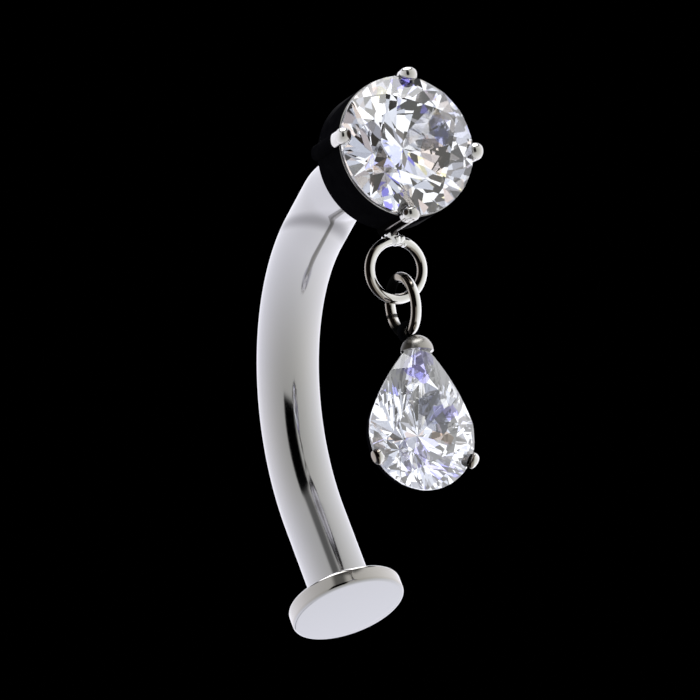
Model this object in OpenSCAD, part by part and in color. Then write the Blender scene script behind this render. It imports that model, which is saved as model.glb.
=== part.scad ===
// Navel ring: a bent bar with a prong set round stone at its upper end, a flat base disc at
// its lower end, and a pear shaped drop that hangs from a fixed ring by a jump ring.
// The origin is the middle of the bar's bend, on its centreline. +Z is up as it is worn,
// the stones face -Y, and the bend lies in the plane x = 0.

/* [Bar] */
// Diameter of the bar's round wire, 14 gauge
bar_d = 1.6; // [1.2:0.1:1.8]
// Radius of the bar's bend, to its centreline
bend_r = 5.3; // [4.5:0.1:7]
// Angle that the bend turns through
bend_angle = 90; // [80:1:100]
// Lean of the bar at the middle of its bend, back from upright
bar_lean = 25; // [18:1:32]
// Straight length of the bar below its bend
leg_low = 2.3; // [1.9:0.1:5]
// Straight length of the bar above its bend
leg_top = 1.44; // [0.5:0.02:3]
// Radius of the small turn that brings the bar square to the cup
neck_r = 1.5; // [1:0.1:3]
// Straight length of the bar behind the cup
neck_len = 2.58; // [2:0.02:4]

/* [Base disc] */
// Diameter of the flat base disc
disc_d = 2.98; // [2.4:0.02:4]
// Thickness of the disc
disc_t = 0.46; // [0.4:0.02:0.8]
// Rounding of the disc's rims
disc_round = 0.1; // [0.04:0.02:0.16]
// Seam between the disc and the bar's end
disc_seam = 0.03; // [0.01:0.01:0.06]
// Diameter of the hidden post on the disc
post_d = 0.8; // [0.6:0.05:1]
// Length of the post inside the bar
post_len = 1.5; // [1:0.1:1.6]
// Radial clearance between the post and its bore
post_gap = 0.03; // [0.02:0.01:0.06]

/* [Round stone] */
// Diameter of the round stone
stone_d = 3.5; // [3:0.05:4]
// Table across its corners, as a part of the diameter
table_part = 0.57; // [0.52:0.01:0.62]
// Height of the crown
crown_h = 0.56; // [0.48:0.02:0.64]
// Depth of the pavilion
pavilion_h = 1.46; // [1.36:0.02:1.56]
// Least thickness of the girdle
girdle_t = 0.05; // [0.04:0.01:0.1]

/* [Cup and prongs] */
// Depth of the cup behind the girdle
cup_depth = 1.44; // [1.4:0.02:1.8]
// How far the cup stands out beyond the stone
cup_over = 0.02; // [0.01:0.01:0.06]
// Distance from the girdle back to the cup's bright rim
rim_drop = 0.13; // [0.11:0.01:0.18]
// Gap between a stone and the metal that seats it
seat_gap = 0.03; // [0.02:0.01:0.05]
// Diameter of the prong wires
prong_d = 0.4; // [0.34:0.02:0.5]
// How much wider than the wires the ball tips are, all round
bead_more = 0.015; // [0:0.005:0.03]
// Distance from the stone's edge to the middle of the prong wires
prong_off = 0.015; // [0:0.005:0.05]
// How far the prongs, filed down outside, stand out beyond the stone
prong_reach = 0.19; // [0.17:0.01:0.24]
// Height of the ball tips' centres in front of the girdle
prong_up = 0.14; // [0.12:0.01:0.2]
// Distance from the cup's back to the back of the prong wires
prong_inset = 0.03; // [0.01:0.01:0.1]
// Turn of the four prongs from upright
prong_turn = 11; // [6:1:16]

/* [Rings] */
// Diameter of the wire of both rings
ring_wire = 0.25; // [0.2:0.01:0.28]
// Radius of the fixed ring to the middle of its wire
fixed_r = 0.715; // [0.68:0.005:0.9]
// Tilt of the fixed ring, its bottom going back
fixed_tilt = 11; // [5:1:16]
// Distance from the cup's back to the fixed ring, along the prong
fixed_inset = 0.36; // [0.3:0.02:0.5]
// Gap between the fixed ring and the prong wire, which the weld bridges
weld_gap = 0.02; // [0.01:0.005:0.03]
// Diameter of the weld that joins the fixed ring to the prong
weld_d = 0.36; // [0.3:0.02:0.42]
// Radius of the jump ring to the middle of its wire
jump_r = 0.69; // [0.66:0.01:0.85]
// Gap between the jump ring and the fixed ring where they link
link_gap = 0.035; // [0.02:0.005:0.06]
// Angle at which the fixed ring's wire lies inside the jump ring, up from level
link_angle = 36; // [20:1:60]
// Shift of the jump ring to the left of the fixed ring's middle
link_shift = 0.1; // [0.06:0.01:0.14]
// Width of the cut in the jump ring
jump_cut = 0.03; // [0.02:0.01:0.06]
// Angle of the cut, down from level at the back
cut_angle = 10; // [0:1:30]

/* [Pear stone] */
// Width of the pear stone
pear_w = 2.77; // [2.6:0.01:3]
// Distance from the round end's centre to the tip
pear_tip = 2.37; // [2.25:0.01:2.5]
// Angle at which the sides leave the round end, above level
pear_side = 23; // [19:1:26]
// Table as a part of the outline
pear_table = 0.56; // [0.52:0.01:0.6]
// Height of the crown
pear_crown = 0.42; // [0.38:0.01:0.46]
// Depth of the pavilion
pear_pavilion = 1.2; // [1.15:0.01:1.25]

/* [Pear setting] */
// Lean of the whole drop to one side
drop_lean = 8.6; // [0:0.1:15]
// How far the pear's girdle lies in front of its loop
pear_forward = 0.42; // [0.4:0.01:0.5]
// Diameter of the loop's wire
loop_wire = 0.14; // [0.12:0.01:0.16]
// Gap between the loop and the jump ring's wire
loop_gap = 0.03; // [0.02:0.01:0.05]
// Height of the loop's middle above the stone's tip
tip_drop = 0.24; // [0.22:0.01:0.3]
// Radius of the cap over the tip
cap_r = 0.4; // [0.38:0.01:0.44]
// Length of the stone's tip that the cap covers
cap_cover = 0.33; // [0.3:0.01:0.36]
// Thickness of the wall that runs round behind the girdle
band_wall = 0.09; // [0.07:0.01:0.1]
// Height of that wall
band_h = 0.16; // [0.12:0.01:0.24]
// Distance from the girdle back to that wall
band_drop = 0.19; // [0.18:0.01:0.22]
// How far that wall's outside lies inside the girdle
band_inset = 0.07; // [0.06:0.01:0.08]
// Diameter of the two claws
claw_d = 0.32; // [0.28:0.02:0.36]
// How much wider than the claws their ball tips are, all round
claw_more = 0.04; // [0.02:0.01:0.05]
// How far the claws, filed down outside, stand out beyond the stone
claw_reach = 0.14; // [0.12:0.01:0.2]
// Height of the claws' tips in front of the girdle
claw_up = 0.1; // [0.08:0.01:0.14]
// Angle of the claws below level
claw_angle = 27; // [20:1:35]
// Radius of the base ring behind the stone
base_r = 0.75; // [0.7:0.01:0.8]
// Diameter of the base ring's wire
base_wire = 0.2; // [0.16:0.01:0.22]
// Distance from the girdle back to the base ring
base_drop = 1; // [0.98:0.01:1.1]

/* [Hidden] */
$fn = 64;

// Angles of the bend's two ends and the small turn that is left at the top
end_low = bar_lean - bend_angle / 2;
end_top = bar_lean + bend_angle / 2;
neck_turn = 90 - end_top;
bar_r = bar_d / 2;
// Centre of the bend, and of the small turn, as y and z
bend_y = -bend_r * cos(bar_lean);
bend_z = -bend_r * sin(bar_lean);
turn_y = bend_y + (bend_r - neck_r) * cos(end_top) - leg_top * sin(end_top);
turn_z = bend_z + (bend_r - neck_r) * sin(end_top) + leg_top * cos(end_top);
// Middle of the round stone's girdle
girdle_y = turn_y - neck_len - cup_depth;
girdle_z = turn_z + neck_r;
post_r = post_d / 2;
// The bore runs on a little past the post, and the neck a little into the cup
bore_len = post_len + 5 * post_gap;
neck_in = bar_r / 4;

// Round stone: the points of its 16 girdle facets lie a little outside its round girdle
stone_r = stone_d / 2;
stone_h = girdle_t + crown_h + pavilion_h;
point_r = stone_r * 1.003 / cos(11.25);
table_r = stone_r * table_part;
half_t = girdle_t / 2;
crown_z = half_t + crown_h;
star_r = table_r * cos(22.5) + 0.5 * (stone_r - table_r * cos(22.5));
star_z = crown_z - crown_h * (star_r * cos(22.5) - table_r) / (point_r - table_r);
culet_z = -half_t - pavilion_h;
lower_r = 0.24 * stone_r;
lower_z = culet_z + pavilion_h * lower_r * cos(22.5) / point_r;

// Pocket that the stone leaves in the cup and the prongs
pocket_r = stone_r + seat_gap;
pocket_top_z = half_t + (star_z - half_t) * (point_r - pocket_r) / (point_r - star_r) + 1.5 * seat_gap;
pocket_end_z = culet_z - 3 * seat_gap;
pocket_low_z = pocket_end_z + (-half_t - pocket_end_z) * pocket_r / (point_r + seat_gap);

cup_r = stone_r + cup_over;
prong_r = prong_d / 2;
prong_at = stone_r + prong_off;
// Prong that carries the fixed ring, and the ring's topmost and lowest wire middles
carry_x = -prong_at * sin(prong_turn);
carry_z = -prong_at * cos(prong_turn);
wire_r = ring_wire / 2;
fixed_top_y = cup_depth - fixed_inset;
fixed_top_z = carry_z - prong_r - wire_r - weld_gap;
fixed_y = fixed_top_y + fixed_r * sin(fixed_tilt);
fixed_z = fixed_top_z - fixed_r * cos(fixed_tilt);
hang_y = fixed_y + fixed_r * sin(fixed_tilt);
hang_z = fixed_z - fixed_r * cos(fixed_tilt);
// Middle of the jump ring, and its lowest wire middle, where the drop hangs
link_reach = jump_r - ring_wire - link_gap;
jump_x = carry_x - link_shift;
jump_y = hang_y - link_reach * cos(link_angle);
jump_z = hang_z - link_reach * sin(link_angle);
loop_z = jump_z - jump_r;
cut_half = asin(jump_cut / 2 / jump_r);

// Pear: a round end and two side arcs, their centres at (-side_x, -side_y) and its mirror
pear_r = pear_w / 2;
side_m = (pear_tip * pear_tip - pear_r * pear_r) / (2 * pear_r - 2 * pear_tip * sin(pear_side));
side_r = side_m + pear_r;
side_x = side_m * cos(pear_side);
side_y = side_m * sin(pear_side);
// Height of the tip of the outline that lies o outside the pear, and the arc's last angle
function tip_at(o) = sqrt(pow(side_r + o, 2) - side_x * side_x) - side_y;
function tip_angle(o) = atan2(tip_at(o) + side_y, side_x);
// Points up the right side, from the bottom to the tip, for the outline o outside the pear
function round_point(a, o) = [(pear_r + o) * cos(a), (pear_r + o) * sin(a)];
function side_point(a, o) = [(side_r + o) * cos(a) - side_x, (side_r + o) * sin(a) - side_y];
function right_half(o) = concat(
    [for (i = [0:15]) round_point(-90 + (90 + pear_side) * i / 16, o)],
    [for (i = [0:9]) side_point(pear_side + (tip_angle(o) - pear_side) * i / 10, o)]);
function outline(o) = concat(right_half(o), [[0, tip_at(o)]],
    [for (i = [25:-1:1]) [-right_half(o)[i][0], right_half(o)[i][1]]]);

// Eight main facets: tip, upper side, side, lower side, bottom and back up the left.
// The points between them lie halfway. All lie a little outside the trimmed outline.
out_o = 0.035;
side_mid = (pear_side + tip_angle(out_o)) / 2;
mains_right = [[0, tip_at(out_o)], side_point(side_mid, out_o), round_point(12, out_o),
    round_point(-40, out_o), [0, -pear_r - out_o]];
halves_right = [side_point((side_mid + tip_angle(out_o)) / 2, out_o),
    side_point((side_mid + pear_side) / 2, out_o), round_point(-14, out_o), round_point(-65, out_o)];
mains = concat(mains_right, [for (i = [3:-1:1]) [-mains_right[i][0], mains_right[i][1]]]);
halves = concat(halves_right, [for (i = [3:-1:0]) [-halves_right[i][0], halves_right[i][1]]]);
pear_half_t = 0.02;
pear_crown_z = pear_half_t + pear_crown;
pear_star = 0.5 * (1 + pear_table);
pear_star_z = pear_crown_z - pear_crown * (pear_star * 0.93 - pear_table) / (1 - pear_table);
pear_culet_z = -pear_half_t - pear_pavilion;
pear_lower = 0.26;
pear_lower_z = pear_culet_z + pear_pavilion * pear_lower * 0.93;

loop_r = wire_r + loop_gap + loop_wire / 2;
pear_z = -tip_drop - pear_tip;
cap_at = pear_tip - cap_cover;
// Room round the stone's tip: half its thickness at the tip, and how it opens to front and back
tip_half = 2 * seat_gap;
tip_front = 1.9 * pear_crown / (pear_tip * (1 - pear_table));
tip_back = 1.04 * (-pear_half_t - pear_lower_z) / (tip_at(out_o) * (1 - pear_lower));
tip_from = pear_tip - 1.9 * cap_cover;
tip_to = pear_tip + 1.5 * seat_gap;
// Room round the round end: half its height at the girdle, and its narrower top
end_half = 3.5 * seat_gap;
end_top_r = 0.7 * pear_r;
// Neck from the loop to the cap, and post from the cap to the base ring, as y and z at the pear
neck_wire_r = 0.6 * loop_wire;
neck_from = [-pear_z - loop_r - 0.18 * loop_wire, 0.14 * loop_wire - pear_forward];
neck_to = [cap_at + 0.5 * cap_r, -0.62 * cap_r];
post_wire_r = 0.45 * base_wire;
post_from = [base_r, -base_drop];
post_to = [cap_at + 0.28 * cap_r, -0.75 * cap_r];
claw_r = claw_d / 2;
claw_at = pear_r + seat_gap / 2;
claw_tilt = atan2(claw_at - base_r, claw_up + base_drop);
claw_len = sqrt(pow(claw_at - base_r, 2) + pow(claw_up + base_drop, 2));
steel = [0.78, 0.79, 0.82];
silver = [0.86, 0.86, 0.87];
clear_stone = [0.9, 0.93, 1];

// Puts a shape drawn in x and y into the plane of the bend
module in_bend_plane() { rotate([90, 0, 90]) children(); }

// Puts a shape at the round stone, drawn with z toward the viewer and y up
module at_stone() { translate([0, girdle_y, girdle_z]) rotate([90, 0, 0]) children(); }

// Puts a shape at the lower end of the bar, drawn with z out of the end
module at_low_end() {
    translate([0, bend_y, bend_z]) in_bend_plane() rotate([0, 0, end_low])
        translate([bend_r, -leg_low, 0]) rotate([90, 0, 0]) children();
}

module bar() {
    translate([0, bend_y, bend_z]) in_bend_plane() {
        rotate([0, 0, end_low]) rotate_extrude(angle = bend_angle) translate([bend_r, 0]) circle(bar_r);
        rotate([0, 0, end_low]) translate([bend_r, 0, 0]) rotate([90, 0, 0]) cylinder(h = leg_low, r = bar_r);
        rotate([0, 0, end_top]) translate([bend_r, 0, 0]) rotate([-90, 0, 0]) cylinder(h = leg_top, r = bar_r);
        rotate([0, 0, end_top]) translate([bend_r - neck_r, leg_top, 0]) {
            rotate_extrude(angle = neck_turn) translate([neck_r, 0]) circle(bar_r);
            // The straight neck runs on into the cup
            rotate([0, 0, neck_turn]) translate([neck_r, 0, 0]) rotate([-90, 0, 0])
                cylinder(h = neck_len + neck_in, r = bar_r);
        }
    }
}

// Profile of the room that the round stone and its gap take
module stone_pocket() {
    rotate_extrude() polygon([[0, pocket_end_z], [pocket_r, pocket_low_z], [pocket_r, pocket_top_z],
        [star_r, star_z + 1.5 * seat_gap], [table_r, crown_z + 1.5 * seat_gap], [0, crown_z + 1.5 * seat_gap]]);
}

module cup() {
    chamfer = 0.05;
    rotate_extrude() polygon([[0, -cup_depth], [cup_r - chamfer, -cup_depth], [cup_r, -cup_depth + chamfer],
        [cup_r, -rim_drop], [0, -rim_drop]]);
}

module prongs() {
    intersection() {
        for (i = [0:3]) rotate([0, 0, 90 * i - prong_turn]) translate([prong_at, 0, 0]) {
            translate([0, 0, prong_inset - cup_depth])
                cylinder(h = cup_depth - prong_inset + prong_up, r = prong_r);
            translate([0, 0, prong_up]) sphere(r = prong_r + bead_more);
        }
        cylinder(h = 3 * cup_depth, r = stone_r + prong_reach, center = true);
    }
}

module fixed_ring() {
    translate([carry_x, girdle_y + fixed_y, girdle_z + fixed_z]) rotate([90 + fixed_tilt, 0, 0])
        rotate_extrude() translate([fixed_r, 0]) circle(wire_r, $fn = 32);
    translate([carry_x, girdle_y + fixed_top_y, girdle_z + fixed_top_z + weld_gap + 0.2 * weld_d]) sphere(d = weld_d);
}

module bar_and_setting() {
    color(steel) {
        difference() {
            union() {
                bar();
                at_stone() cup();
                at_stone() prongs();
                fixed_ring();
            }
            at_stone() stone_pocket();
            at_low_end() translate([0, 0, -bore_len]) cylinder(h = bore_len + 1, r = post_r + post_gap);
        }
    }
}

module base_disc() {
    r = disc_d / 2;
    color(steel) at_low_end() {
        translate([0, 0, -post_len]) cylinder(h = post_len + disc_seam + disc_t / 2, r = post_r);
        translate([0, 0, disc_seam]) rotate_extrude() {
            square([r - disc_round, disc_t]);
            translate([0, disc_round]) square([r, disc_t - 2 * disc_round]);
            translate([r - disc_round, disc_round]) circle(disc_round, $fn = 32);
            translate([r - disc_round, disc_t - disc_round]) circle(disc_round, $fn = 32);
        }
    }
}

// Point at angle a and radius r, at height z
function at_angle(a, r, z) = [r * cos(a), r * sin(a), z];

module brilliant() {
    points = concat(
        [for (k = [0:7]) at_angle(45 * k, table_r, crown_z)],
        [for (k = [0:7]) at_angle(45 * k + 22.5, star_r, star_z)],
        [for (m = [0:15]) at_angle(22.5 * m, point_r, half_t)],
        [for (m = [0:15]) at_angle(22.5 * m, point_r, -half_t)],
        [for (k = [0:7]) at_angle(45 * k + 22.5, lower_r, lower_z)],
        [[0, 0, culet_z]]);
    faces = concat(
        [[for (k = [7:-1:0]) k]],
        [for (k = [0:7]) [k, (k + 1) % 8, 8 + k]],
        [for (k = [0:7]) [k, 8 + k, 16 + 2 * k, 8 + (k + 7) % 8]],
        [for (k = [0:7]) [8 + k, 17 + 2 * k, 16 + 2 * k]],
        [for (k = [0:7]) [8 + k, 16 + (2 * k + 2) % 16, 17 + 2 * k]],
        [for (m = [0:15]) [16 + m, 16 + (m + 1) % 16, 32 + (m + 1) % 16, 32 + m]],
        [for (k = [0:7]) [48 + k, 32 + 2 * k, 33 + 2 * k]],
        [for (k = [0:7]) [48 + k, 33 + 2 * k, 32 + (2 * k + 2) % 16]],
        [for (k = [0:7]) [56, 48 + (k + 7) % 8, 32 + 2 * k, 48 + k]]);
    polyhedron(points, faces);
}

module round_stone() {
    color(clear_stone) at_stone() intersection() {
        brilliant();
        cylinder(h = 3 * stone_h, r = stone_r, center = true);
    }
}

module jump_ring() {
    color(silver) translate([jump_x, girdle_y + jump_y, girdle_z + jump_z]) in_bend_plane()
        rotate([0, 0, cut_half - cut_angle]) rotate_extrude(angle = 360 - 2 * cut_half)
            translate([jump_r, 0]) circle(wire_r, $fn = 32);
}

// Puts a shape at the drop's loop, drawn upright
module at_loop() {
    translate([jump_x, girdle_y + jump_y, girdle_z + loop_z]) rotate([0, drop_lean, 0]) children();
}

// Puts a shape at the pear's round end, drawn with z toward the viewer and y toward the tip
module at_pear() {
    at_loop() translate([0, -pear_forward, pear_z]) rotate([90, 0, 0]) children();
}

// Room of the stone's tip and its gap, narrowing to the tip in both views
module tip_room() {
    run = tip_to - tip_from;
    intersection() {
        linear_extrude(pear_w, center = true) polygon(outline(seat_gap));
        rotate([90, 0, 90]) linear_extrude(pear_w, center = true) polygon([[tip_to, -tip_half],
            [tip_to, tip_half], [tip_from, tip_half + tip_front * run], [tip_from, -tip_half - tip_back * run]]);
    }
}

// Room of the round end and its gap, for the claws
module end_room() {
    r = pear_r + seat_gap;
    low = pear_culet_z - 3 * seat_gap;
    top = pear_crown_z + seat_gap;
    rotate_extrude() polygon([[0, low], [r, -end_half], [r, end_half], [end_top_r, top], [0, top]]);
}

// Half dome over the stone's tip
module cap() {
    translate([0, cap_at, 0]) intersection() {
        sphere(r = cap_r);
        translate([-cap_r, 0, -cap_r]) cube(2 * cap_r);
    }
}

// Thin wall behind the girdle
module band() {
    translate([0, 0, -band_drop - band_h]) linear_extrude(band_h) difference() {
        polygon(outline(-band_inset));
        polygon(outline(-band_inset - band_wall));
    }
}

// Wire between two places given as y and z at the pear
module wire(from, to, r) {
    run = to - from;
    translate([0, from[0], from[1]]) rotate([-atan2(run[0], run[1]), 0, 0])
        cylinder(h = norm(run), r = r, $fn = 32);
}

module claws() {
    intersection() {
        for (a = [-claw_angle, 180 + claw_angle]) rotate([0, 0, a]) translate([base_r, 0, -base_drop])
            rotate([0, claw_tilt, 0]) {
                sphere(r = claw_r + claw_more / 4, $fn = 32);
                cylinder(h = claw_len, r = claw_r, $fn = 32);
                translate([0, 0, claw_len]) sphere(r = claw_r + claw_more, $fn = 32);
            }
        cylinder(h = 4 * base_drop, r = pear_r + claw_reach, center = true);
    }
}

module pear_setting() {
    color(silver) {
        at_loop() rotate([90, 0, 0]) rotate_extrude() translate([loop_r, 0])
            circle(loop_wire / 2, $fn = 24);
        at_pear() wire(neck_from, neck_to, neck_wire_r);
        at_pear() difference() {
            union() {
                cap();
                band();
                translate([0, 0, -base_drop]) rotate_extrude() translate([base_r, 0])
                    circle(base_wire / 2, $fn = 32);
                wire(post_from, post_to, post_wire_r);
                claws();
            }
            tip_room();
            end_room();
        }
    }
}

module pear_gem() {
    n = 8;
    points = concat(
        [for (k = [0:7]) [mains[k][0] * pear_table, mains[k][1] * pear_table, pear_crown_z]],
        [for (k = [0:7]) [halves[k][0] * pear_star, halves[k][1] * pear_star, pear_star_z]],
        [for (k = [0:7]) [mains[k][0], mains[k][1], pear_half_t]],
        [for (k = [0:7]) [halves[k][0], halves[k][1], pear_half_t]],
        [for (k = [0:7]) [mains[k][0], mains[k][1], -pear_half_t]],
        [for (k = [0:7]) [halves[k][0], halves[k][1], -pear_half_t]],
        [for (k = [0:7]) [halves[k][0] * pear_lower, halves[k][1] * pear_lower, pear_lower_z]],
        [[0, 0, pear_culet_z]]);
    // The main points run clockwise from the tip, seen from the front
    faces = concat(
        [[for (k = [0:7]) k]],
        [for (k = [0:7]) [(k + 1) % n, k, 8 + k]],
        [for (k = [0:7]) [8 + k, k, 16 + k]],
        [for (k = [0:7]) [k, 8 + (k + 7) % n, 16 + k]],
        [for (k = [0:7]) [8 + k, 16 + k, 24 + k]],
        [for (k = [0:7]) [8 + k, 24 + k, 16 + (k + 1) % n]],
        [for (k = [0:7]) [24 + k, 16 + k, 32 + k, 40 + k]],
        [for (k = [0:7]) [16 + (k + 1) % n, 24 + k, 40 + k, 32 + (k + 1) % n]],
        [for (k = [0:7]) [48 + k, 40 + k, 32 + k]],
        [for (k = [0:7]) [48 + k, 32 + (k + 1) % n, 40 + k]],
        [for (k = [0:7]) [56, 48 + k, 32 + k]],
        [for (k = [0:7]) [56, 32 + k, 48 + (k + 7) % n]]);
    polyhedron(points, faces);
}

module pear_stone() {
    color(clear_stone) at_pear() intersection() {
        pear_gem();
        linear_extrude(3 * pear_pavilion, center = true) polygon(outline(0));
    }
}

bar_and_setting();
base_disc();
round_stone();
jump_ring();
pear_setting();
pear_stone();
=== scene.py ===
"""Looks of the navel ring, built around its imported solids: polished steel, cut stones, light and camera."""
import math
import bmesh
import bpy
from mathutils import Matrix, Vector, noise


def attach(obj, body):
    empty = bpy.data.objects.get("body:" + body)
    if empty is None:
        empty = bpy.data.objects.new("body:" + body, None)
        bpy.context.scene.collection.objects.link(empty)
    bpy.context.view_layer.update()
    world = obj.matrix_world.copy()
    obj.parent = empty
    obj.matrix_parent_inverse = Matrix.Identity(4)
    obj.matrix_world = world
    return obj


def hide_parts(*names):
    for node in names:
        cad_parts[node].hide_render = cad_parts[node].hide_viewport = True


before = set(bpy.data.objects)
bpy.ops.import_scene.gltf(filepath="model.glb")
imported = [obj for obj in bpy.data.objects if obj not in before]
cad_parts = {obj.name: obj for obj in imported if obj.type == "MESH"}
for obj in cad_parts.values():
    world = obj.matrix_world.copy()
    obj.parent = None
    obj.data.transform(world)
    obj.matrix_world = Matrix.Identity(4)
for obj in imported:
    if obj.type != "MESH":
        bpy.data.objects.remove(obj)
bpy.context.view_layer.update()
MM = 0.001

# Camera. The photograph looks at the piece from its left and a little from below, tipped over to one
# side, through a long lens. It is placed from the middle of the round stone's girdle, and its
# frame's middle lies to the left of that point and below it.
girdle = Vector((0, -8.8769, 3.3235))
look_azimuth, look_elevation, look_roll = math.radians(-26.55), math.radians(-9.90), math.radians(11.14)
look_distance = 113.83
aim_left, aim_down = 1.389, 4.965
pixels_per_mm = 41.196
picture_pixels, sensor_mm = 700, 36
nearest, farthest = 2 * MM, 10

across_cos, across_sin = math.cos(look_azimuth), math.sin(look_azimuth)
tilt_cos, tilt_sin = math.cos(look_elevation), math.sin(look_elevation)
level_right = Vector((across_cos, across_sin, 0))
level_up = Vector((-across_sin * tilt_sin, across_cos * tilt_sin, tilt_cos))
toward_camera = Vector((across_sin * tilt_cos, -across_cos * tilt_cos, tilt_sin))
right = math.cos(look_roll) * level_right - math.sin(look_roll) * level_up
up = math.sin(look_roll) * level_right + math.cos(look_roll) * level_up
eye = girdle + look_distance * toward_camera - aim_left * right - aim_down * up
camera_data = bpy.data.cameras.new("camera")
camera_data.sensor_width = sensor_mm
camera_data.lens = pixels_per_mm * look_distance * sensor_mm / picture_pixels
camera_data.clip_start = nearest
camera_data.clip_end = farthest
camera = bpy.data.objects.new("camera", camera_data)
turned = Matrix((right, up, toward_camera)).transposed().to_4x4()
camera.matrix_world = Matrix.Translation(eye * MM) @ turned
bpy.context.scene.collection.objects.link(camera)
bpy.context.scene.camera = camera


# Studio. The piece hangs over a plain pale floor in a soft white light tent, which is brighter to the
# right and behind, with a lamp at the top. Dark gaps in it draw the streaks on the bar. Polished
# metal and stones show nothing but this tent and one another.
class Value:
    """A number in a material or in the world; what is worked out from it adds Math nodes."""

    def __init__(self, graph, socket):
        self.graph, self.socket = graph, socket

    def __add__(self, other):
        return self.graph.maths("ADD", self, other)

    def __mul__(self, other):
        return self.graph.maths("MULTIPLY", self, other)

    def __truediv__(self, other):
        return self.graph.maths("DIVIDE", self, other)

    def __rsub__(self, other):
        return self.graph.maths("SUBTRACT", other, self)

    __radd__, __rmul__ = __add__, __mul__


class Graph:
    """The nodes of a material or of the world."""

    def __init__(self, tree):
        self.tree = tree

    def node(self, kind, settings=None, sockets=None, output=0):
        made = self.tree.nodes.new(kind)
        for name, value in (settings or {}).items():
            if name == "stops":
                ramp = made.color_ramp.elements
                while len(ramp) < len(value):
                    ramp.new(0.5)
                for stop, (position, colour) in zip(ramp, value):
                    stop.position, stop.color = position, (*colour, 1)
            else:
                setattr(made, name, value)
        for name, value in (sockets or {}).items():
            self.feed(made.inputs[name], value)
        return Value(self, made.outputs[output])

    def feed(self, socket, value):
        if isinstance(value, Value):
            self.tree.links.new(value.socket, socket)
        elif isinstance(value, tuple) and len(value) == 3 and socket.type == "RGBA":
            socket.default_value = (*value, 1)
        else:
            socket.default_value = value

    def maths(self, operation, *numbers):
        return self.node("ShaderNodeMath", {"operation": operation}, dict(enumerate(numbers)))

    def between(self, share, low, high):
        """A colour or number that goes from low to high as share goes from 0 to 1."""
        if isinstance(low, tuple) or isinstance(high, tuple):
            return self.node("ShaderNodeMix", {"data_type": "RGBA"}, {0: share, 6: low, 7: high}, 2)
        return self.node("ShaderNodeMapRange", {}, {"Value": share, "To Min": low, "To Max": high})

    def step(self, value, start, end):
        """A number that goes smoothly from 0 to 1 as the value goes from start to end."""
        return self.node("ShaderNodeMapRange", {"interpolation_type": "SMOOTHSTEP"},
                         {"Value": value, "From Min": start, "From Max": end})

    def along(self, vector, direction):
        """How far the vector reaches along the direction."""
        return self.node("ShaderNodeVectorMath", {"operation": "DOT_PRODUCT"},
                         {0: vector, 1: tuple(direction)}, "Value")


class Tent(Graph):
    """The world's light, by the direction that it comes from."""

    def __init__(self, world):
        world.use_nodes = True
        super().__init__(world.node_tree)
        self.direction = self.node("ShaderNodeTexCoord", output="Generated")
        self.background = self.tree.nodes["Background"]

    def card(self, azimuth, elevation, half_width, half_height, soft):
        """1 inside a soft edged upright card at that azimuth from +Y, all in degrees, and 0 outside."""
        turn_cos, turn_sin = math.cos(math.radians(azimuth)), math.sin(math.radians(azimuth))
        rise_cos, rise_sin = math.cos(math.radians(elevation)), math.sin(math.radians(elevation))
        ahead = self.along(self.direction, (turn_sin * rise_cos, turn_cos * rise_cos, rise_sin))
        across = self.along(self.direction, (turn_cos, -turn_sin, 0))
        upward = self.along(self.direction, (-turn_sin * rise_sin, -turn_cos * rise_sin, rise_cos))
        front_edge = (0.05, 0.15)
        share = self.step(ahead, *front_edge)
        for reach, half in ((across, half_width), (upward, half_height)):
            size = self.maths("ABSOLUTE", reach) / ahead
            outer, inner = math.tan(math.radians(half + soft)), math.tan(math.radians(half - soft))
            share = share * self.step(size, outer, inner)
        return share


world = bpy.data.worlds.new("light_tent")
tent = Tent(world)
east, north, height = [tent.along(tent.direction, axis) for axis in ((1, 0, 0), (0, 1, 0), (0, 0, 1))]
plain_light, east_light, north_light, lamp_light = 0.85, 0.19, 0.31, 2.2
lamp_edge, seam_edge, seam_strength = (0.83, 0.88), (0.70, 0.74), 0.85
lamp = tent.step(height, *lamp_edge)
seam = tent.step(height, *seam_edge) * (1 - lamp)
light = plain_light + east_light * east + north_light * north
light = light * (1 - seam_strength * seam) + lamp_light * lamp
# Each gap's azimuth, elevation, half width, half height and soft edge in degrees, and its strength.
dark_gaps = ((-150, 8, 18, 27, 3, 1), (-148, 40, 11, 9, 5, 0.75), (3, -51, 3, 25, 3, 0.8))
for *card, strength in dark_gaps:
    light = light * (1 - strength * tent.card(*card))
green_cast, blue_cast, north_blue = 1.005, 1.03, 0.07
blue_light = light * (blue_cast + north_blue * north)
outside = tent.node("ShaderNodeCombineColor", {}, {0: light, 1: light * green_cast, 2: blue_light})

# Light that leaves a stone meets a patchwork of dark, white and a few tinted patches in its place.
patch_shift, patch_scale = (4.8, 3.1, 3.3), 3.4
patch_stops = ((0.0, (0.01, 0.009, 0.008)), (0.13, (0.05, 0.045, 0.04)), (0.21, (0.24, 0.22, 0.21)),
               (0.32, (0.42, 0.43, 0.5)), (0.44, (0.72, 0.76, 0.88)), (0.54, (1.35, 1.36, 1.4)),
               (0.9, (1.35, 1.37, 1.44)), (0.925, (0.42, 0.44, 1.2)), (0.95, (0.95, 0.98, 1.1)),
               (0.965, (0.95, 0.84, 0.74)), (0.98, (0.85, 0.68, 0.57)), (1.0, (0.8, 0.78, 0.95)))
shifted = tent.node("ShaderNodeVectorMath", {"operation": "ADD"}, {0: tent.direction, 1: patch_shift})
patches = tent.node("ShaderNodeTexVoronoi", {}, {"Vector": shifted, "Scale": patch_scale}, "Color")
chance = tent.node("ShaderNodeSeparateColor", {}, {"Color": patches}, "Red")
glints = tent.node("ShaderNodeValToRGB", {"stops": patch_stops}, {"Fac": chance})
through_stone = tent.node("ShaderNodeLightPath", output="Is Transmission Ray")
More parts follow.
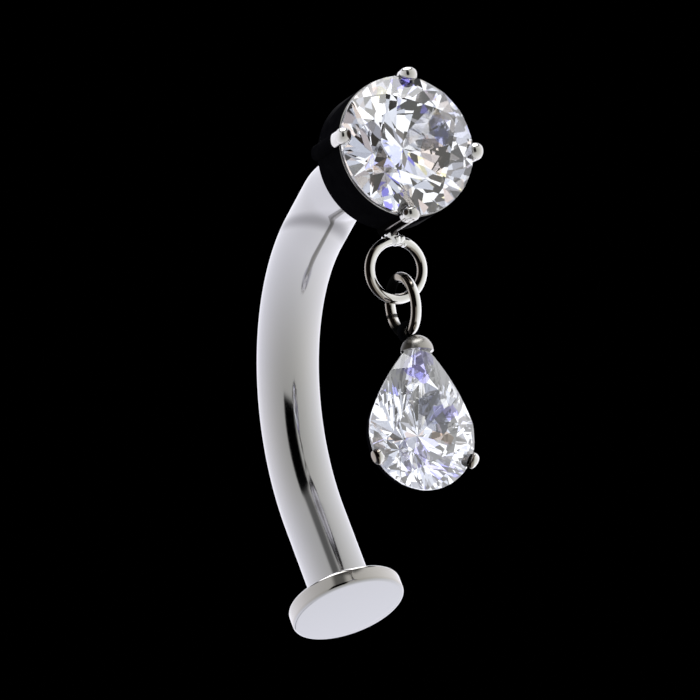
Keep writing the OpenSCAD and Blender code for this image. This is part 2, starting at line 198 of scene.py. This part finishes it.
seen = tent.node("ShaderNodeMix", {"data_type": "RGBA"}, {0: through_stone, 6: outside, 7: glints}, 2)
tent.feed(tent.background.inputs["Color"], seen)
bpy.context.scene.world = world
world.cycles_visibility.camera = False
bpy.context.scene.view_settings.view_transform = "Standard"

floor_depth, floor_half = 34 * MM, 1.5
floor_corners = [(x * floor_half, y * floor_half, -floor_depth)
                 for x, y in ((-1, -1), (1, -1), (1, 1), (-1, 1))]
floor_mesh = bpy.data.meshes.new("floor")
floor_mesh.from_pydata(floor_corners, [], [(0, 1, 2, 3)])
floor = bpy.data.objects.new("floor", floor_mesh)
floor.visible_glossy = False
floor.visible_transmission = False
bpy.context.scene.collection.objects.link(floor)


class Finish(Graph):
    """A material with one Principled shader, whose sockets take numbers, colours or values."""

    def __init__(self, name, **sockets):
        self.material = bpy.data.materials.new(name)
        self.material.use_nodes = True
        super().__init__(self.material.node_tree)
        self.shader = self.tree.nodes["Principled BSDF"]
        self.place = self.node("ShaderNodeTexCoord", output="Object")
        self.facing = self.node("ShaderNodeTexCoord", output="Normal")
        self.set(**sockets)

    def set(self, **sockets):
        for name, value in sockets.items():
            self.feed(self.shader.inputs[name.replace("_", " ").title().replace("Ior", "IOR")], value)

    def noise(self, per_mm, detail=2):
        return self.node("ShaderNodeTexNoise", {},
                         {"Vector": self.place, "Scale": per_mm / MM, "Detail": detail})

    def mottled(self, per_mm, low, high, detail=2):
        """A colour or number that drifts between low and high over the surface."""
        return self.between(self.noise(per_mm, detail), low, high)

    def reach(self, direction):
        """How far a place on the piece lies along the direction, in millimetres."""
        return self.along(self.place, direction) / MM

    def distance(self, vector, point):
        """How far the vector lies from a point given in millimetres, in millimetres."""
        return self.node("ShaderNodeVectorMath", {"operation": "DISTANCE"},
                         {0: vector, 1: tuple(MM * part for part in point)}, "Value") / MM


paper = Finish("floor_paper", roughness=0.8)
grey_paper, pale_paper = (0.40, 0.40, 0.40), (0.43, 0.43, 0.42)
paper.set(base_color=paper.mottled(0.05, grey_paper, pale_paper))
floor_mesh.materials.append(paper.material)

# Bar and cup. A 14 gauge bar of polished surgical steel, bent round and turned square into the back
# of a turned cup, which it is soldered to. The low end is drilled for the disc's post, and the
# cup is bored to a cone for the stone. A darker band across the bar near its neck is a painted dark
# reflection. The cup's wall is painted near black as painted shade, with a bright rim.
bar_r, bend_r, neck_r = 0.8, 5.3, 1.5
bend_start, bend_turn, neck_turn = -20, 90, 20
leg_low, leg_top, neck_len = 2.3, 1.44, 2.58
leg_steps, bend_steps, top_steps, neck_steps, last_steps = 24, 96, 8, 24, 16
bore_r, bore_depth = 0.43, 1.65
cup_r, cup_depth, rim_drop = 1.77, 1.44, 0.13
pocket_end, pocket_slope = 1.575, 1.1739
end_round, cup_round, rim_round, solder = 0.03, 0.06, 0.02, 0.06
corner_share = 0.3
wall_skin = 0.01
AROUND = 128
pale_steel, warm_steel, dark_reflection_grey = (0.55, 0.55, 0.57), (0.60, 0.585, 0.575), (0.34, 0.335, 0.34)
dark_reflection_way, dark_reflection_lower_edge, dark_reflection_upper_edge = (0.42, -0.15, 0.89), (2.6, 2.8), (3.02, 2.82)
black, near_black = (0.002, 0.002, 0.003), (0.006, 0.006, 0.007)
polish, wall_polish = (0.07, 0.13), (0.16, 0.24)
rightward, forward, upward = Vector((1, 0, 0)), Vector((0, -1, 0)), Vector((0, 0, 1))


def loft(mesh, rings, looped=False):
    """Skins rings of points in order. A ring of one point closes its end."""
    rows = [[mesh.verts.new(point) for point in ring] for ring in rings]
    following = rows[1:] + rows[:1] if looped else rows[1:]
    for lower, higher in zip(rows, following):
        count = max(len(lower), len(higher))
        for i in range(count):
            j = (i + 1) % count
            corners = [lower[i % len(lower)], lower[j % len(lower)],
                       higher[j % len(higher)], higher[i % len(higher)]]
            mesh.faces.new(list(dict.fromkeys(corners)))


def ring(centre, across, beside, radius, count=AROUND):
    """Points round a circle, or the centre alone where the radius is nothing."""
    if radius == 0:
        return [Vector(centre)]
    turns = [2 * math.pi * i / count for i in range(count)]
    return [Vector(centre) + radius * (math.cos(t) * Vector(across) + math.sin(t) * Vector(beside))
            for t in turns]


def add_piece(name, mesh, body, nodes, finishes, place=None):
    """Puts a mesh made in millimetres into the scene as a piece of that body, for those nodes."""
    merge_distance, crease = 1e-5, math.radians(35)
    if place:
        mesh.transform(place)
    bmesh.ops.remove_doubles(mesh, verts=mesh.verts, dist=merge_distance)
    bmesh.ops.recalc_face_normals(mesh, faces=mesh.faces)
    for face in mesh.faces:
        face.smooth = True
    for edge in mesh.edges:
        edge.smooth = edge.calc_face_angle(0) < crease
    mesh.transform(Matrix.Scale(MM, 4))
    data = bpy.data.meshes.new(name)
    mesh.to_mesh(data)
    mesh.free()
    for finish in finishes:
        data.materials.append(finish.material)
    made = bpy.data.objects.new(name, data)
    bpy.context.scene.collection.objects.link(made)
    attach(made, body)
    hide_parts(*nodes)


def along_bend(centre, radius, angle):
    """A place on an arc in the bend's plane, and the direction out from its centre."""
    outward = Vector((0, math.cos(math.radians(angle)), math.sin(math.radians(angle))))
    return centre + radius * outward, outward


def onward(outward):
    """The way the bar runs where that is the direction out from its bend."""
    return Vector((0, -outward.z, outward.y))


bend_centre = along_bend(Vector((0, 0, 0)), -bend_r, bend_start + bend_turn / 2)[0]
bend_end = bend_start + bend_turn
leg_end, low_out = along_bend(bend_centre, bend_r, bend_start)
low_run = onward(low_out)
low_end = leg_end - leg_low * low_run
low_profile = ((bore_depth, 0), (bore_depth, bore_r), (0, bore_r), (0, bar_r - end_round),
               (corner_share * end_round, bar_r - corner_share * end_round), (end_round, bar_r))
walk = [(low_end + depth * low_run, low_out, radius) for depth, radius in low_profile]
for i in range(1, leg_steps):
    depth = end_round + (leg_low - end_round) * i / leg_steps
    walk.append((low_end + depth * low_run, low_out, bar_r))
for i in range(bend_steps + 1):
    walk.append((*along_bend(bend_centre, bend_r, bend_start + bend_turn * i / bend_steps), bar_r))
high_end, high_out = along_bend(bend_centre, bend_r, bend_end)
high_run = onward(high_out)
for i in range(1, top_steps):
    walk.append((high_end + leg_top * i / top_steps * high_run, high_out, bar_r))
neck_centre = high_end + leg_top * high_run - neck_r * high_out
for i in range(neck_steps + 1):
    walk.append((*along_bend(neck_centre, neck_r, bend_end + neck_turn * i / neck_steps), bar_r))
for i in range(1, last_steps):
    behind = cup_depth + neck_len * (1 - i / last_steps)
    walk.append((girdle - behind * forward, upward, bar_r))
cup_profile = ((-cup_depth - solder, bar_r), (-cup_depth - solder / 3, bar_r + solder / 4),
               (-cup_depth, bar_r + solder), (-cup_depth, cup_r - cup_round),
               (-cup_depth + corner_share * cup_round, cup_r - corner_share * cup_round),
               (-cup_depth + cup_round, cup_r), (-rim_drop - rim_round, cup_r),
               (-rim_drop - corner_share * rim_round, cup_r - corner_share * rim_round),
               (-rim_drop, cup_r - rim_round), (-rim_drop, (pocket_end - rim_drop) * pocket_slope),
               (-pocket_end, 0))
walk += [(girdle + depth * forward, upward, radius) for depth, radius in cup_profile]

steel = Finish("polished_steel", metallic=1.0)
drift = steel.mottled(0.5, pale_steel, warm_steel)
# Painted reflection: a darker grey band painted across the bar near its neck.
dark_reflection_height = steel.reach(dark_reflection_way)
band = steel.step(dark_reflection_height, *dark_reflection_lower_edge) * steel.step(dark_reflection_height, *dark_reflection_upper_edge)
steel.set(base_color=steel.between(band, drift, dark_reflection_grey), roughness=steel.mottled(12, *polish, detail=4))
# Painted shade: this near black finish stands for the dark that these surfaces show. It goes on the cup's
# wall, the prong stems, the drop's loop and parts of its frame.
shade = Finish("painted_shade_finish", metallic=0.08, specular_ior_level=0.0, specular_tint=(0.0, 0.0, 0.0))
shade.set(base_color=shade.mottled(3, black, near_black), roughness=shade.mottled(20, *wall_polish))
bar_mesh = bmesh.new()
loft(bar_mesh, [ring(centre, rightward, out, radius) for centre, out, radius in walk])
# Faces on the cup's wall take the painted black shade.
for face in bar_mesh.faces:
    middle = face.calc_center_median() - girdle
    on_wall = abs(middle.y) < cup_depth and math.hypot(middle.x, middle.z) > cup_r - wall_skin
    face.material_index = int(on_wall)
add_piece("bar_and_cup", bar_mesh, "bar", ["bar_and_setting"], [steel, shade])

# Prongs. Four round wires of steel, soldered into the cup's wall, with beads pushed over the stone's
# girdle. Each is carved where the stone lies, with a hair of room. Their stems are painted near black
# as painted shade, and the lowest stem carries two painted highlight lines.
at_stone = Matrix.Translation(girdle) @ Matrix.Rotation(math.radians(90), 4, "X")
prong_count, prong_r, prong_at, prong_up, prong_turn, prong_limit = 4, 0.2, 1.765, 0.14, 11, 1.94
prong_steps, bead_r, bead_start, bead_steps = 40, 0.215, 60, 20
foot_rise, bead_lap = 0.03, 0.08
pocket_r, bead_in, bead_height = 1.78, 1.62, 0.05
stem_stops = (0.25, 0.5, 0.7, 0.8, 0.9, 1)
stem_top, left_stem_top = -0.05, -0.2
left_prong, lowest_prong = -1.2, -1.4
# The room that the stone needs, as height over its girdle and distance from its axis.
stone_room = ((-cup_depth, 0), (-0.06, pocket_r), (0.105, pocket_r), (0.36, 1.4), (0.63, 1.0), (0.63, 0))
# Two painted dark reflections on the left and the lowest bead, each with its middle and size.
bead_dark_reflections = (((-1.64, -9.18, 3.65), 0.13), ((-0.53, -9.12, 1.62), 0.09))
dull_bead, bright_bead, dark_reflection_brown = (0.6, 0.58, 0.55), (0.9, 0.89, 0.87), (0.03, 0.022, 0.016)
stem_painted_shade, painted_glint_grey = (0.003, 0.003, 0.003), (0.36, 0.33, 0.32)
wire_silver, shaded_side_brown, painted_streak_brown = (0.95, 0.94, 0.92), (0.36, 0.32, 0.27), (0.006, 0.004, 0.003)
wire_polish, bead_polish = (0.06, 0.14), (0.12, 0.2)
to_left, to_lower_right = Vector((-0.8925, 0.4089, 0.19)), Vector((0.364, 0, -0.931))
shaded_side_edge, painted_streak_start, painted_streak_end = (-0.3, 0.0), (0.12, 0.22), (0.84, 0.78)
edge_line_from, side_line_from, side_line_to = (0.84, 0.92), (0.06, 0.14), (0.36, 0.28)
lines_fade = (-7.8, -8.25)
dark_reflection_edge = 0.7


def clear_of_stone(point):
    """The point, moved out from the stone's axis to the wall of the room that the stone needs."""
    radius = math.hypot(point.x, point.y)
    least = bead_in if point.z > bead_height else 0
    for (low, low_r), (high, high_r) in zip(stone_room, stone_room[1:]):
        if low <= point.z <= high and high > low:
            wall = max(low_r + (high_r - low_r) * (point.z - low) / (high - low), least)
            if radius < wall:
                return Vector((point.x * wall / radius, point.y * wall / radius, point.z))
    return point


def filed(point, limit):
    """The point, brought in to that distance from the z axis, with a soft corner."""
    soft = 0.03
    radius = math.hypot(point.x, point.y)
    over = (radius - limit) / soft
    if over < -4:
        return point
    wanted = limit - soft * math.log1p(math.exp(-over)) if over < 30 else limit
    return Vector((point.x * wanted / radius, point.y * wanted / radius, point.z))


def wire_finish(name):
    """Polished silvery wire, painted warm brown on its left-facing side as painted shade, with a dark brown
    painted reflection streak along that side.
    """
    finish = Finish(name, metallic=1.0)
    # Painted shade and reflection, by the way each place on the wire faces.
    lean = finish.along(finish.facing, to_left) + 0.12 * finish.noise(2.5)
    shaded_side = finish.step(lean, *shaded_side_edge)
    painted_streak = finish.step(lean, *painted_streak_start) * finish.step(lean, *painted_streak_end)
    finish.colour = finish.between(painted_streak, finish.between(shaded_side, wire_silver, shaded_side_brown), painted_streak_brown)
    finish.gloss = finish.mottled(15, *wire_polish, detail=4)
    finish.set(base_color=finish.colour, roughness=finish.gloss)
    return finish


bead_metal = Finish("bead_metal", metallic=1.0)
bead_tint = bead_metal.mottled(4, dull_bead, bright_bead)
# Painted reflection: dark brown spots painted in the middle of two beads.
for middle, size in bead_dark_reflections:
    dark_reflection = bead_metal.step(bead_metal.distance(bead_metal.place, middle), size, size * dark_reflection_edge)
    bead_tint = bead_metal.between(dark_reflection, bead_tint, dark_reflection_brown)
bead_metal.set(base_color=bead_tint, roughness=bead_metal.mottled(20, *bead_polish, detail=4))
# Painted highlight: the lowest stem is black painted shade, with two light lines painted along its edges by
# the way each place faces. The lines fade towards the back.
painted_glint_stem = Finish("painted_glint_stem", specular_ior_level=0.0)
lean = painted_glint_stem.along(painted_glint_stem.facing, to_lower_right)
edge_line = painted_glint_stem.step(lean, *edge_line_from)
side_line = painted_glint_stem.step(lean, *side_line_from) * painted_glint_stem.step(lean, *side_line_to)
lines = (edge_line + side_line) * painted_glint_stem.step(painted_glint_stem.reach((0, 1, 0)), *lines_fade)
painted_glint_stem.set(base_color=painted_glint_stem.between(lines, stem_painted_shade, painted_glint_grey), metallic=lines, roughness=0.25)
prong_foot, prong_neck = foot_rise - cup_depth, prong_up - bead_lap
prong_profile = [(prong_foot, 0), (prong_foot, prong_r)]
prong_profile += [(share * prong_neck + (1 - share) * prong_foot, prong_r) for share in stem_stops]
for i in range(bead_steps):
    a = math.radians(bead_start + (180 - bead_start) * i / bead_steps)
    prong_profile.append((prong_up - bead_r * math.cos(a), bead_r * math.sin(a)))
prong_profile.append((prong_up + bead_r, 0))
prong_mesh = bmesh.new()
for i in range(prong_count):
    turn = Matrix.Rotation(math.radians(360 / prong_count * i - prong_turn), 4, "Z")
    rings = []
    for z, radius in prong_profile:
        points = ring((prong_at, 0, z), (1, 0, 0), (0, 1, 0), radius, prong_steps)
        rings.append([filed(clear_of_stone(turn @ point), prong_limit) for point in points])
    loft(prong_mesh, rings)
# Painted shade: stems below the beads take the near black finish, and the lowest stem takes the painted
# highlight lines.
for face in prong_mesh.faces:
    middle = face.calc_center_median()
    if middle.z < (left_stem_top if middle.x < left_prong else stem_top):
        face.material_index = 2 if middle.y < lowest_prong else 1
add_piece("prongs", prong_mesh, "bar", ["bar_and_setting"], [bead_metal, shade, painted_glint_stem],
          at_stone)

# Fixed ring. A closed ring of round wire that stands under the lowest prong, held to it by a lumpy
# bit of bright weld.
wire_r, wire_steps, fixed_r, fixed_tilt = 0.125, 40, 0.715, 11
fixed_middle = Vector((-0.33678, -7.66048, 0.54403))
weld_middle = Vector((-0.33678, -7.79691, 1.34089))
# Each lump's place from the weld's middle, and its radius.
weld_lumps = ((0, 0, 0, 0.18), (-0.22, -0.02, -0.03, 0.07), (0.04, -0.05, -0.1, 0.15),
              (0.18, -0.03, -0.1, 0.13), (0.3, 0, -0.2, 0.1), (-0.12, 0, -0.07, 0.1))
lump_subdivisions, dents_per_mm, dent_depth, dent_seed = 5, 8, 0.025, 2
weld_bright, weld_dark = (0.97, 0.97, 0.97), (0.12, 0.11, 0.10)
bright_edge, weld_polish = (0.24, 0.32), (0.1, 0.25)


def ring_directions(angle):
    """The ways out from a ring's middle and on along its wire, at that angle in degrees."""
    a = math.radians(angle)
    return Vector((math.cos(a), math.sin(a), 0)), Vector((-math.sin(a), math.cos(a), 0))


def wire_ring(mesh, radius, wire, start=0.0, end=360.0, steps=120):
    """A ring of wire in the x and y plane, closed, or open with softly rounded ends."""
    soft = 0.02
    whole = end - start >= 360
    rings = []
    for i in range(steps if whole else steps + 1):
        out = ring_directions(start + (end - start) * i / steps)[0]
        rings.append(ring(radius * out, out, upward, wire, wire_steps))
    if not whole:
        for angle, sign in ((start, -1), (end, 1)):
            out, run = ring_directions(angle)
            caps = [ring(radius * out + sign * soft * run * math.sin(t), out, upward,
                         wire - soft * (1 - math.cos(t)), wire_steps) for t in (0.5, 1.0, math.pi / 2)]
            caps.append([radius * out + sign * soft * run])
            rings = caps[::-1] + rings if sign < 0 else rings + caps
    loft(mesh, rings, looped=whole)


wire_metal = wire_finish("wire_metal")
ring_mesh = bmesh.new()
wire_ring(ring_mesh, fixed_r, wire_r)
add_piece("fixed_ring", ring_mesh, "bar", ["bar_and_setting"], [wire_metal],
          Matrix.Translation(fixed_middle) @ Matrix.Rotation(math.radians(90 + fixed_tilt), 4, "X"))
weld_mesh = bmesh.new()
for x, y, z, radius in weld_lumps:
    bmesh.ops.create_icosphere(weld_mesh, subdivisions=lump_subdivisions, radius=radius,
                               matrix=Matrix.Translation((x, y, z)))
noise.seed_set(dent_seed)
for vertex in weld_mesh.verts:
    vertex.co += dent_depth * noise.noise_vector(vertex.co * dents_per_mm)
weld_metal = Finish("weld_metal", metallic=1.0)
bright = weld_metal.step(weld_metal.noise(9), *bright_edge)
weld_metal.set(base_color=weld_metal.between(bright, weld_dark, weld_bright),
               roughness=weld_metal.mottled(15, *weld_polish))
add_piece("weld", weld_mesh, "bar", ["bar_and_setting"], [weld_metal],
          Matrix.Translation(weld_middle))

# Base disc. A turned flat disc of polished steel with softly rounded rims, on a plain post that goes
# into the bar.
disc_r, disc_t, disc_round, disc_seam = 1.49, 0.46, 0.1, 0.03
post_r, post_len, post_round, rim_steps = 0.4, 1.5, 0.03, 10
wall_dark, wall_pale, painted_face_reflection = (0.50, 0.475, 0.45), (0.62, 0.60, 0.575), (0.555, 0.555, 0.575)
flat_edge = (0.3, 0.8)


def quarter_turn(steps):
    """Angles from nothing to a right angle, in that many steps."""
    return [math.pi / 2 * i / steps for i in range(steps + 1)]


disc_profile = [(-post_len, 0), (-post_len, post_r - post_round), (-post_len + post_round, post_r),
                (disc_seam, post_r)]
inner_rim, outer_rim = disc_seam + disc_round, disc_seam + disc_t - disc_round
rim_middle = disc_r - disc_round
disc_profile += [(inner_rim - disc_round * math.cos(t), rim_middle + disc_round * math.sin(t))
                 for t in quarter_turn(rim_steps)]
disc_profile += [(outer_rim + disc_round * math.sin(t), rim_middle + disc_round * math.cos(t))
                 for t in quarter_turn(rim_steps)]
disc_profile.append((disc_seam + disc_t, 0))
disc_mesh = bmesh.new()
loft(disc_mesh, [ring(low_end - depth * low_run, rightward, low_out, radius)
                 for depth, radius in disc_profile])
disc_metal = Finish("disc_steel", metallic=1.0)
# Painted reflection and shade: the flat faces are painted a pale cool grey, and the rounded wall a darker
# warm grey with random mottle.
flat = disc_metal.maths("ABSOLUTE", disc_metal.along(disc_metal.facing, low_run))
painted_wall_shade = disc_metal.mottled(0.8, wall_dark, wall_pale)
disc_metal.set(base_color=disc_metal.between(disc_metal.step(flat, *flat_edge), painted_wall_shade, painted_face_reflection),
               roughness=disc_metal.mottled(12, *polish, detail=4))
add_piece("base_disc", disc_mesh, "bar", ["base_disc"], [disc_metal])

# Jump ring. An open ring of the same wire, closed round the fixed ring and the drop's loop, its cut
# on the side away from the viewer. That side is painted near black and rougher as painted shade, but for a
# short bright stretch.
jump_r, cut_half, cut_angle = 0.69, 1.25, 10
jump_middle = Vector((-0.43678, -7.85171, -0.39589))
far_side_shade_black, far_side_metal_loss, far_side_added_roughness, cut_shade = (0.002, 0.002, 0.002), 0.97, 0.4, 0.85
far_edge, low_edge, high_edge = (-8.0, -7.88), (-0.62, -0.85), (-0.2, -0.1)
cut_top, cut_bottom = (-0.45, -0.48), (-0.58, -0.54)
jump_mesh = bmesh.new()
wire_ring(jump_mesh, jump_r, wire_r, cut_half, 360 - cut_half)
open_metal = wire_finish("open_ring_metal")
# Painted shade: on the far side the wire turns near black, less metallic and rougher, below and above a
# bright stretch and at the cut's ends.
far = open_metal.step(open_metal.reach((0, 1, 0)), *far_edge)
height = open_metal.reach((0, 0, 1))
low, high = open_metal.step(height, *low_edge), open_metal.step(height, *high_edge)
cut_ends = open_metal.step(height, *cut_top) * open_metal.step(height, *cut_bottom)
dark = far * open_metal.maths("MAXIMUM", open_metal.maths("MAXIMUM", low, cut_shade * cut_ends), high)
open_metal.set(base_color=open_metal.between(dark, open_metal.colour, far_side_shade_black), specular_ior_level=0,
               metallic=1 - far_side_metal_loss * dark, roughness=open_metal.gloss + far_side_added_roughness * dark)
stood_up = Matrix(((0, 0, 1, 0), (1, 0, 0, 0), (0, 1, 0, 0), (0, 0, 0, 1)))
add_piece("jump_ring", jump_mesh, "link", ["jump_ring"], [open_metal],
          Matrix.Translation(jump_middle) @ stood_up @ Matrix.Rotation(math.radians(-cut_angle), 4, "Z"))

# Drop's setting. A cast frame of bright metal: a loop, a satin cap over the stone's tip, a thin wall
# behind the girdle, a base ring, a post between them, and two claws over the round end. The loop and
# its stalk, the wall's outer side and a stretch of each claw are painted near black as painted shade,
# and the cap's left side is painted dark as painted shade.
drop_lean, pear_forward, pear_tip, pear_r, pear_side = 8.6, 0.42, 2.37, 1.385, 23
loop_wire, loop_r, loop_steps, tip_drop = 0.07, 0.225, 64, 0.24
stalk_r, stalk_forward, stalk_down, stalk_back, stalk_lap = 0.085, 0.02, 0.025, 0.16, 0.1
cap_r, cap_at, cap_around, cap_steps, cap_skin = 0.4, 2.04, 64, 16, 0.001
base_ring_r, base_wire, base_steps, base_drop = 0.75, 0.1, 96, 1.0
band_inset, band_wall, band_h, band_drop = 0.07, 0.09, 0.16, 0.19
post_slimmer, post_lap, post_high = 0.01, 0.11, 0.3
claw_r, claw_angle, claw_up, claw_at = 0.16, 27, 0.1, pear_r + 0.015
claw_ball, claw_limit, claw_in = claw_r + 0.04, pear_r + 0.14, pear_r - 0.05
claw_shade_low, claw_shade_high, claw_side = -0.9, -0.4, 0.5 * pear_r
satin_grey, cap_painted_shade, cap_shade_edge = (0.52, 0.50, 0.47), (0.04, 0.036, 0.03), (0.22, 0.5)
satin_polish = (0.25, 0.38)
loop_bottom = jump_middle - jump_r * upward
at_loop = Matrix.Translation(loop_bottom) @ Matrix.Rotation(math.radians(drop_lean), 4, "Y")
at_pear = (at_loop @ Matrix.Translation((0, -pear_forward, -tip_drop - pear_tip))
           @ Matrix.Rotation(math.radians(90), 4, "X"))
side_sin, side_cos = math.sin(math.radians(pear_side)), math.cos(math.radians(pear_side))
side_reach = (pear_tip ** 2 - pear_r ** 2) / (2 * pear_r - 2 * pear_tip * side_sin)
side_r = side_reach + pear_r
side_x, side_y = side_reach * side_cos, side_reach * side_sin


def pear_outline(inset):
    """The pear's outline, that far inside its girdle, from the bottom up the right side and back down."""
    round_steps, side_steps = 40, 24
    top = math.sqrt((side_r - inset) ** 2 - side_x ** 2) - side_y
    last = math.degrees(math.atan2(top + side_y, side_x))
    half = []
    for i in range(round_steps):
        a = math.radians(-90 + (90 + pear_side) * i / round_steps)
        half.append(((pear_r - inset) * math.cos(a), (pear_r - inset) * math.sin(a)))
    for i in range(side_steps):
        a = math.radians(pear_side + (last - pear_side) * i / side_steps)
        half.append(((side_r - inset) * math.cos(a) - side_x, (side_r - inset) * math.sin(a) - side_y))
    return half + [(0, top)] + [(-x, y) for x, y in half[:0:-1]]


def rod(mesh, start, end, radius, count=32, ball=0.0):
    """A round rod between two points, with balls of that radius at its ends or with flat ends."""
    ball_steps = 8
    start, end = Vector(start), Vector(end)
    run = (end - start).normalized()
    across = run.orthogonal().normalized()
    beside = run.cross(across)
    if ball:
        low_cap = [ring(start - ball * math.cos(t) * run, across, beside, ball * math.sin(t), count)
                   for t in quarter_turn(ball_steps)]
        high_cap = [ring(end + ball * math.cos(t) * run, across, beside, ball * math.sin(t), count)
                    for t in reversed(quarter_turn(ball_steps))]
    else:
        low_cap = [[start]]
        high_cap = [[end]]
    stem = [ring(start, across, beside, radius, count), ring(end, across, beside, radius, count)]
    loft(mesh, low_cap + stem + high_cap)


loop_mesh = bmesh.new()
wire_ring(loop_mesh, loop_r, loop_wire, steps=loop_steps)
loop_mesh.transform(Matrix.Rotation(math.radians(90), 4, "X"))
rod(loop_mesh, (0, -stalk_forward, -loop_r - stalk_down),
    (0, -pear_forward + stalk_back, -tip_drop - pear_tip + cap_at + stalk_lap), stalk_r)
# The loop and its stalk are painted near black as painted shade.
add_piece("drop_loop", loop_mesh, "drop", ["pear_setting"], [shade], at_loop)

satin = Finish("satin_cap", metallic=1.0)
# Painted shade: the cap's left-facing side is painted dark.
lean = satin.along(satin.facing, to_left) + 0.2 * satin.noise(4)
satin.set(base_color=satin.between(satin.step(lean, *cap_shade_edge), satin_grey, cap_painted_shade),
          roughness=satin.mottled(25, *satin_polish, detail=4))
cap_mesh = bmesh.new()
dome = [ring((0, cap_at + cap_r * math.sin(t), 0), rightward, upward, cap_r * math.cos(t), cap_around)
        for t in quarter_turn(cap_steps)[:-1]]
loft(cap_mesh, [[(0, cap_at, 0)]] + dome + [[(0, cap_at + cap_r, 0)]])
for face in cap_mesh.faces:
    face.material_index = int(face.calc_center_median().y < cap_at + cap_skin)
add_piece("tip_cap", cap_mesh, "drop", ["pear_setting"], [satin, bead_metal], at_pear)

frame_mesh = bmesh.new()
band_inner, band_back = band_inset + band_wall, band_drop + band_h
band_corners = ((band_inset, band_drop), (band_inset, band_back), (band_inner, band_back),
                (band_inner, band_drop))
band_rings = [[(x, y, -drop) for x, y in pear_outline(inset)] for inset, drop in band_corners]
loft(frame_mesh, band_rings, looped=True)
band_count = len(pear_outline(band_inset))
base_ring = bmesh.new()
wire_ring(base_ring, base_ring_r, base_wire, steps=base_steps)
base_ring.transform(Matrix.Translation((0, 0, -base_drop)))
spare = bpy.data.meshes.new("spare")
base_ring.to_mesh(spare)
base_ring.free()
frame_mesh.from_mesh(spare)
bpy.data.meshes.remove(spare)
rod(frame_mesh, (0, base_ring_r, -base_drop), (0, cap_at + post_lap, -post_high), base_wire - post_slimmer)
for angle in (-claw_angle, 180 + claw_angle):
    out = ring_directions(angle)[0]
    rod(frame_mesh, base_ring_r * out - base_drop * upward, claw_at * out + claw_up * upward, claw_r,
        wire_steps, claw_ball)
for vertex in frame_mesh.verts:
    if vertex.co.y < 0:
        vertex.co = filed(vertex.co, claw_limit)
        radius = math.hypot(vertex.co.x, vertex.co.y)
        if vertex.co.z > 0 and radius < claw_in:
            vertex.co.x *= claw_in / radius
            vertex.co.y *= claw_in / radius
# Painted shade: the band's outer wall and a stretch of each claw take the near black finish.
for i, face in enumerate(frame_mesh.faces):
    middle = face.calc_center_median()
    outer_wall = i < band_count
    on_claw = i >= len(band_corners) * band_count and abs(middle.x) > claw_side
    face.material_index = int(outer_wall or (on_claw and claw_shade_low < middle.z < claw_shade_high))
claw_metal = wire_finish("claw_metal")
add_piece("drop_frame", frame_mesh, "drop", ["pear_setting"], [claw_metal, shade], at_pear)

# Stones. Clear cut stones with polished facets, a round brilliant in the cup and a pear in the drop,
# held by their prongs and claws. Their colour carries painted fire and painted dark facets. The glow,
# painted from the same colour, stands for light that many more bounces would bring back.
stone_ior, facets_per_mm, fire_edge = 2.16, 3.6, 0.85
clear, cool_clear = (1.0, 1.0, 1.0), (0.94, 0.96, 1.0)
# Each painted patch of facets, coloured flashes of fire and a few darker patches of painted shade: where it
# lies across and up, how far it reaches, and its colour.
round_fire_and_shade = (((0.02, 4.83), 0.26, (0.12, 0.1, 1.0)), ((-0.54, 4.62), 0.17, (1.0, 0.88, 0.35)),
               ((0.8, 4.57), 0.22, (0.6, 0.3, 0.6)), ((0.82, 4.09), 0.16, (1.0, 0.8, 0.5)),
               ((0.63, 3.48), 0.3, (0.5, 0.55, 1.0)), ((0.34, 2.75), 0.46, (0.74, 0.56, 0.45)),
               ((-1.1, 2.4), 0.3, (0.35, 0.28, 0.24)), ((-0.45, 1.95), 0.22, (0.3, 0.25, 0.2)))
pear_fire_and_shade = (((-0.77, -2.17), 0.3, (0.4, 0.36, 1.0)), ((-0.45, -1.78), 0.22, (0.45, 0.42, 1.0)),
              ((-0.3, -3.29), 0.2, (0.4, 0.36, 1.0)), ((-0.68, -3.0), 0.36, (0.12, 0.13, 0.18)),
              ((-0.64, -3.42), 0.34, (0.12, 0.13, 0.18)), ((-0.52, -3.88), 0.18, (0.7, 0.5, 0.36)),
              ((-1.31, -4.35), 0.22, (0.3, 0.3, 0.36)))
for name, fires, glow in (("round_stone", round_fire_and_shade, 0.004), ("pear_stone", pear_fire_and_shade, 0.045)):
    stone = Finish("cut_" + name, roughness=0.0, ior=stone_ior, transmission_weight=1.0)
    facet = stone.node("ShaderNodeTexVoronoi", {}, {"Vector": stone.place, "Scale": facets_per_mm / MM},
                       "Position")
    flat_place = stone.node("ShaderNodeVectorMath", {"operation": "MULTIPLY"}, {0: facet, 1: (1, 0, 1)})
    colour = stone.mottled(1.5, clear, cool_clear)
    # Painted fire and painted shade on the facets.
    for (x, z), size, tint in fires:
        near = stone.step(stone.distance(flat_place, (x, 0, z)), size, size * fire_edge)
        colour = stone.between(near, colour, tint)
    stone.set(base_color=colour, emission_color=colour, emission_strength=glow)
    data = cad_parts[name].data
    data.materials.clear()
    data.materials.append(stone.material)
